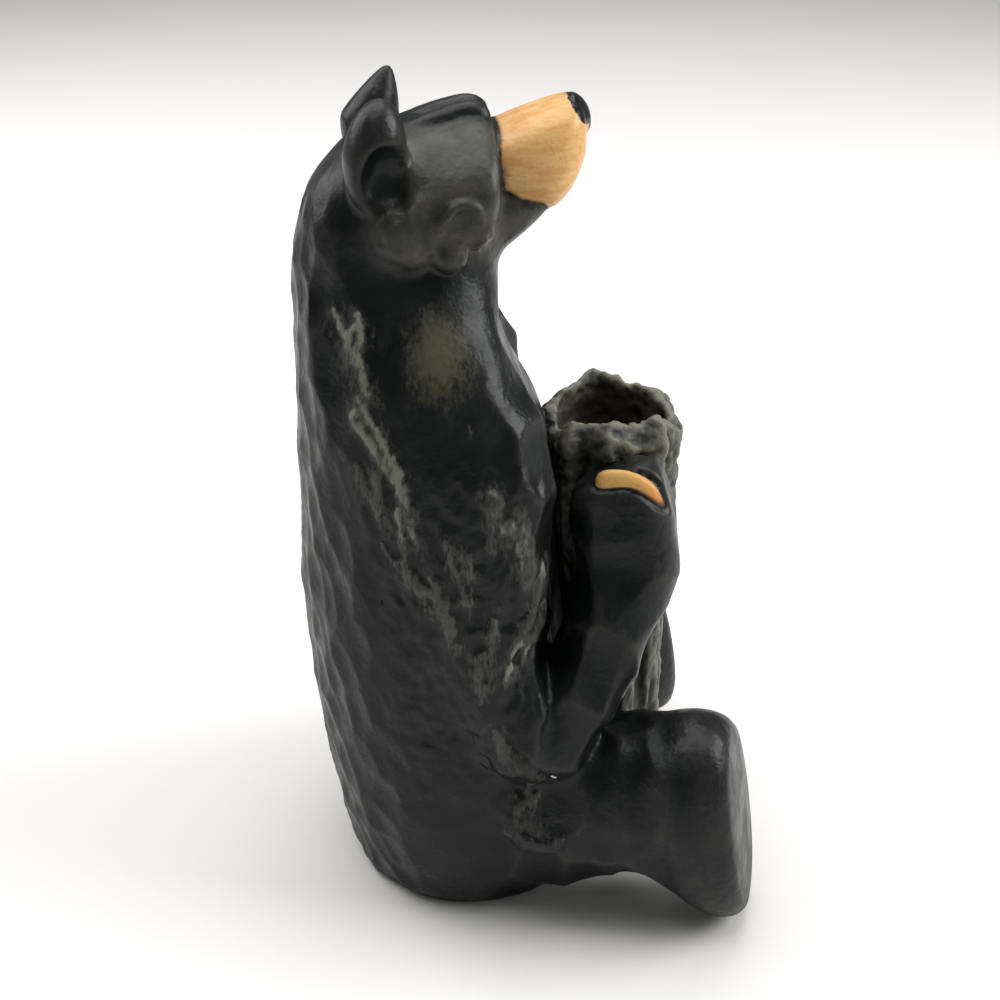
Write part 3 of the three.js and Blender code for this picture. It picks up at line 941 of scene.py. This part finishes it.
def brushGrainGroup():
    tree, given = startGroup(
        "brushGrain",
        {"Low": "Float", "High": "Float"},
        {"Roughness": "Float", "Height": "Float"},
    )
    place = addNode(tree, "ShaderNodeTexCoord").outputs["Object"]
    cloudy = noise(tree, place, 9.0, 3.0)
    grain = noise(tree, place, 0.7, 2.0)
    spread = between(tree, cloudy, 0.35, 0.65)
    span = mathNode(tree, "SUBTRACT", given["High"], given["Low"])
    rough = mathNode(tree, "ADD", given["Low"], mathNode(tree, "MULTIPLY", span, spread))
    uneven = mathNode(tree, "MULTIPLY", noise(tree, place, 3.5, 2.0), 2.5)
    height = mathNode(tree, "ADD", mathNode(tree, "MULTIPLY", grain, 0.35), uneven)
    addNode(tree, "NodeGroupOutput", {"Roughness": rough, "Height": height})
    return tree


rubbedPaint = rubbedPaintGroup()
brushGrain = brushGrainGroup()


def useGroup(tree, group, values):
    node = addNode(tree, "ShaderNodeGroup", node_tree=group)
    for name, value in values.items():
        if hasattr(value, "is_output"):
            tree.links.new(value, node.inputs[name])
        else:
            node.inputs[name].default_value = value
    return node.outputs


def startMaterial(name):
    material = bpy.data.materials.new(name)
    material.use_nodes = True
    tree = material.node_tree
    return material, tree, tree.nodes["Principled BSDF"]


def addBump(tree, shader, height, strength, distance):
    inputs = {"Height": height, "Strength": strength, "Distance": distance * mm}
    bump = addNode(tree, "ShaderNodeBump", inputs)
    tree.links.new(bump.outputs[0], shader.inputs["Normal"])


furPaint = {
    "black": (0.003, 0.0041, 0.0045),
    "soft": (0.0068, 0.0086, 0.0085),
    "grey": (0.042, 0.043, 0.037),
    # painted light on the sides of the face
    "faceLight": (0.062, 0.06, 0.048),
    "rubbed": (0.17, 0.175, 0.13),
    "dull": (0.075, 0.076, 0.06),
    "faded": (0.105, 0.1, 0.062),
    "tan": (0.62, 0.325, 0.105),
    "tanStroke": (0.73, 0.45, 0.19),
    "tanEdge": (0.26, 0.12, 0.04),
    "nose": (0.008, 0.0085, 0.009),
    "claw": (0.62, 0.35, 0.11),
    "clawTip": (0.6, 0.2, 0.06),
    "clawEdge": (0.09, 0.04, 0.016),
    "chipAndGlint": (0.8, 0.78, 0.72),
    "roughness": (0.3, 0.46),
    "specular": 0.24,
}


def furMaterial():
    material, tree, shader = startMaterial("furPaint")
    place = addNode(tree, "ShaderNodeTexCoord").outputs["Object"]
    cloudy = between(tree, noise(tree, place, 16.0, 4.0), 0.35, 0.7)
    colour = mixColour(tree, cloudy, furPaint["black"], furPaint["soft"])
    ridges = mathNode(tree, "MULTIPLY", attribute(tree, "ridge"), 1.8)
    dusty = useGroup(tree, rubbedPaint, {"Amount": ridges, "Break": 1.2})["Mask"]
    colour = mixColour(tree, mathNode(tree, "MULTIPLY", dusty, 0.3), colour, furPaint["grey"])
    # The sides of the face are painted a lighter, patchy grey: painted light.
    patchy = between(tree, noise(tree, place, 6.0, 4.0, 0.6), 0.3, 0.7)
    patchy = mathNode(tree, "ADD", mathNode(tree, "MULTIPLY", patchy, 0.6), 0.3)
    faceLight = mathNode(tree, "MULTIPLY", attribute(tree, "faceLight"), patchy)
    colour = mixColour(tree, faceLight, colour, furPaint["faceLight"])
    faded = useGroup(tree, rubbedPaint, {"Amount": attribute(tree, "faded"), "Break": 1.3})["Mask"]
    colour = mixColour(tree, mathNode(tree, "MULTIPLY", faded, 0.6), colour, furPaint["faded"])
    dull = useGroup(tree, rubbedPaint, {"Amount": attribute(tree, "dull"), "Break": 2.4})["Mask"]
    colour = mixColour(tree, mathNode(tree, "MULTIPLY", dull, 0.7), colour, furPaint["dull"])
    rubbed = useGroup(tree, rubbedPaint, {"Amount": attribute(tree, "rubbed"), "Break": 3.0})["Mask"]
    colour = mixColour(tree, mathNode(tree, "MULTIPLY", rubbed, 0.5), colour, furPaint["dull"])
    worn = useGroup(tree, rubbedPaint, {"Amount": attribute(tree, "worn"), "Break": 2.0})["Mask"]
    colour = mixColour(tree, worn, colour, furPaint["rubbed"])
    wiggle = mathNode(tree, "MULTIPLY", mathNode(tree, "SUBTRACT", noise(tree, place, 3.0), 0.5), 0.9)
    muzzle = mathNode(tree, "ADD", attribute(tree, "muzzle"), wiggle)
    stretched = addNode(tree, "ShaderNodeMapping", {"Vector": place, "Scale": (1.0, 0.35, 1.6)}).outputs[0]
    strokes = between(tree, noise(tree, stretched, 2.6, 5.0, 0.6), 0.32, 0.68)
    tan = mixColour(tree, strokes, furPaint["tan"], furPaint["tanStroke"])
    tan = mixColour(tree, between(tree, muzzle, 0.75, 0.0), tan, furPaint["tanEdge"])
    colour = mixColour(tree, between(tree, muzzle, -0.12, 0.12), colour, tan)
    nose = between(tree, mathNode(tree, "ADD", attribute(tree, "nose"), wiggle), -0.1, 0.1)
    colour = mixColour(tree, nose, colour, furPaint["nose"])
    length = between(tree, attribute(tree, "clawAlong"), 0.35, 1.0)
    claws = mixColour(tree, length, furPaint["claw"], furPaint["clawTip"])
    claws = mixColour(tree, between(tree, attribute(tree, "claw"), 0.55, 0.15), claws, furPaint["clawEdge"])
    colour = mixColour(tree, between(tree, attribute(tree, "claw"), -0.05, 0.15), colour, claws)
    # White resin chips, and one painted glint inside the hollow.
    bitten = mathNode(tree, "MULTIPLY", mathNode(tree, "SUBTRACT", noise(tree, place, 1.0), 0.5), 1.4)
    chipAndGlint = between(tree, mathNode(tree, "ADD", attribute(tree, "chipsAndGlint"), bitten), 0.0, 0.15)
    colour = mixColour(tree, chipAndGlint, colour, furPaint["chipAndGlint"])
    tree.links.new(colour, shader.inputs["Base Color"])
    low, high = furPaint["roughness"]
    grain = useGroup(tree, brushGrain, {"Low": low, "High": high})
    glossy = mathNode(tree, "MULTIPLY", nose, -0.2)
    matt = mathNode(tree, "MULTIPLY", worn, 0.15)
    rough = mathNode(tree, "ADD", mathNode(tree, "ADD", grain["Roughness"], glossy), matt)
    tree.links.new(rough, shader.inputs["Roughness"])
    shader.inputs["Specular IOR Level"].default_value = furPaint["specular"]
    addBump(tree, shader, grain["Height"], 0.3, 0.4)
    return material


barkPaint = {
    "dark": (0.018, 0.018, 0.015),
    "grey": (0.078, 0.081, 0.059),
    "light": (0.18, 0.175, 0.132),
    "hollow": (0.022, 0.02, 0.016),
    "hollowBrown": (0.06, 0.042, 0.026),
    "roughness": (0.55, 0.75),
}


def barkMaterial():
    material, tree, shader = startMaterial("barkPaint")
    place = addNode(tree, "ShaderNodeTexCoord").outputs["Object"]
    ridges = mathNode(tree, "MULTIPLY", attribute(tree, "ridge"), 1.6)
    amount = mathNode(tree, "ADD", ridges, 0.5)
    raised = useGroup(tree, rubbedPaint, {"Amount": amount, "Break": 1.4})["Mask"]
    colour = mixColour(tree, raised, barkPaint["dark"], barkPaint["grey"])
    amount = mathNode(tree, "MULTIPLY", ridges, 1.2)
    top = useGroup(tree, rubbedPaint, {"Amount": amount, "Break": 1.6})["Mask"]
    colour = mixColour(tree, mathNode(tree, "MULTIPLY", top, 0.7), colour, barkPaint["light"])
    # Inside the hollow the paint is dark, with random brown patches.
    brownPatches = between(tree, noise(tree, place, 5.0, 4.0), 0.42, 0.66)
    inside = mixColour(tree, brownPatches, barkPaint["hollow"], barkPaint["hollowBrown"])
    colour = mixColour(tree, attribute(tree, "hollow"), colour, inside)
    tree.links.new(colour, shader.inputs["Base Color"])
    low, high = barkPaint["roughness"]
    grain = useGroup(tree, brushGrain, {"Low": low, "High": high})
    tree.links.new(grain["Roughness"], shader.inputs["Roughness"])
    addBump(tree, shader, grain["Height"], 0.5, 0.4)
    return material


mesh.materials.clear()
for material in (furMaterial(), barkMaterial()):
    mesh.materials.append(material)
loops = np.empty(len(mesh.loops), np.int32)
mesh.loops.foreach_get("vertex_index", loops)
starts = np.empty(len(mesh.polygons), np.int32)
mesh.polygons.foreach_get("loop_start", starts)
faceLog = np.minimum.reduceat(onLog[loops], starts)
faceClaw = np.maximum.reduceat(onClaw[loops], starts)
mesh.polygons.foreach_set("material_index", ((faceLog > 0) & (faceClaw < -0.3)).astype(np.int32))
for name in ("strokeSpace", "backMask", "limbMask", "flankMask", "cheekMask", "rimMask", "trunkMask"):
    mesh.attributes.remove(mesh.attributes[name])
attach(piece, "root")
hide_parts("bear_with_log")
print("paint applied")

# Studio: a pale floor, soft lights and the camera.
studio = {
    "floor": (0.8, 0.79, 0.775),
    "world": 0.17,
    "lights": [  # name, place, size and power
        ("keyLight", (-0.1, -0.95, 0.7), 0.7, 11),
        ("topLight", (0.3, 0.1, 1.5), 1.6, 26),
        ("backLight", (0.5, 0.8, 0.7), 0.8, 5),
    ],
}
floorMesh = bpy.data.meshes.new("floor")
reach = 6.0
corners = [(-reach, -reach, 0), (reach, -reach, 0), (reach, reach, 0), (-reach, reach, 0)]
floorMesh.from_pydata(corners, [], [(0, 1, 2, 3)])
floor = bpy.data.objects.new("floor", floorMesh)
bpy.context.scene.collection.objects.link(floor)
floorPaint, floorTree, floorShader = startMaterial("floorPaint")
floorShader.inputs["Base Color"].default_value = (*studio["floor"], 1)
floorShader.inputs["Roughness"].default_value = 0.8
floorMesh.materials.append(floorPaint)

world = bpy.data.worlds.new("studio")
world.use_nodes = True
world.node_tree.nodes["Background"].inputs["Color"].default_value = (1, 1, 1, 1)
world.node_tree.nodes["Background"].inputs["Strength"].default_value = studio["world"]
bpy.context.scene.world = world
aim = Vector((0, -10, 96.6)) * mm
for name, place, size, power in studio["lights"]:
    lamp = bpy.data.lights.new(name, "AREA")
    lamp.size = size
    lamp.energy = power
    light = bpy.data.objects.new(name, lamp)
    light.location = place
    light.rotation_euler = (aim - Vector(place)).to_track_quat("-Z", "Y").to_euler()
    bpy.context.scene.collection.objects.link(light)

# The photograph looks down at the right side, from a little behind it.
view = {"pitch": 27, "turn": 6, "distance": 0.375, "lens": 54, "sensor": 36}
pitch = math.radians(view["pitch"])
turn = math.radians(view["turn"])
gaze = Vector((math.cos(turn) * math.cos(pitch), -math.sin(turn) * math.cos(pitch), -math.sin(pitch)))
lens = bpy.data.cameras.new("camera")
lens.lens = view["lens"]
lens.sensor_width = view["sensor"]
lens.clip_start = 0.01
camera = bpy.data.objects.new("camera", lens)
camera.location = aim - gaze * view["distance"]
camera.rotation_euler = gaze.to_track_quat("-Z", "Y").to_euler()
bpy.context.scene.collection.objects.link(camera)
bpy.context.scene.camera = camera
bpy.context.scene.view_settings.view_transform = "Standard"

print("scene ready")
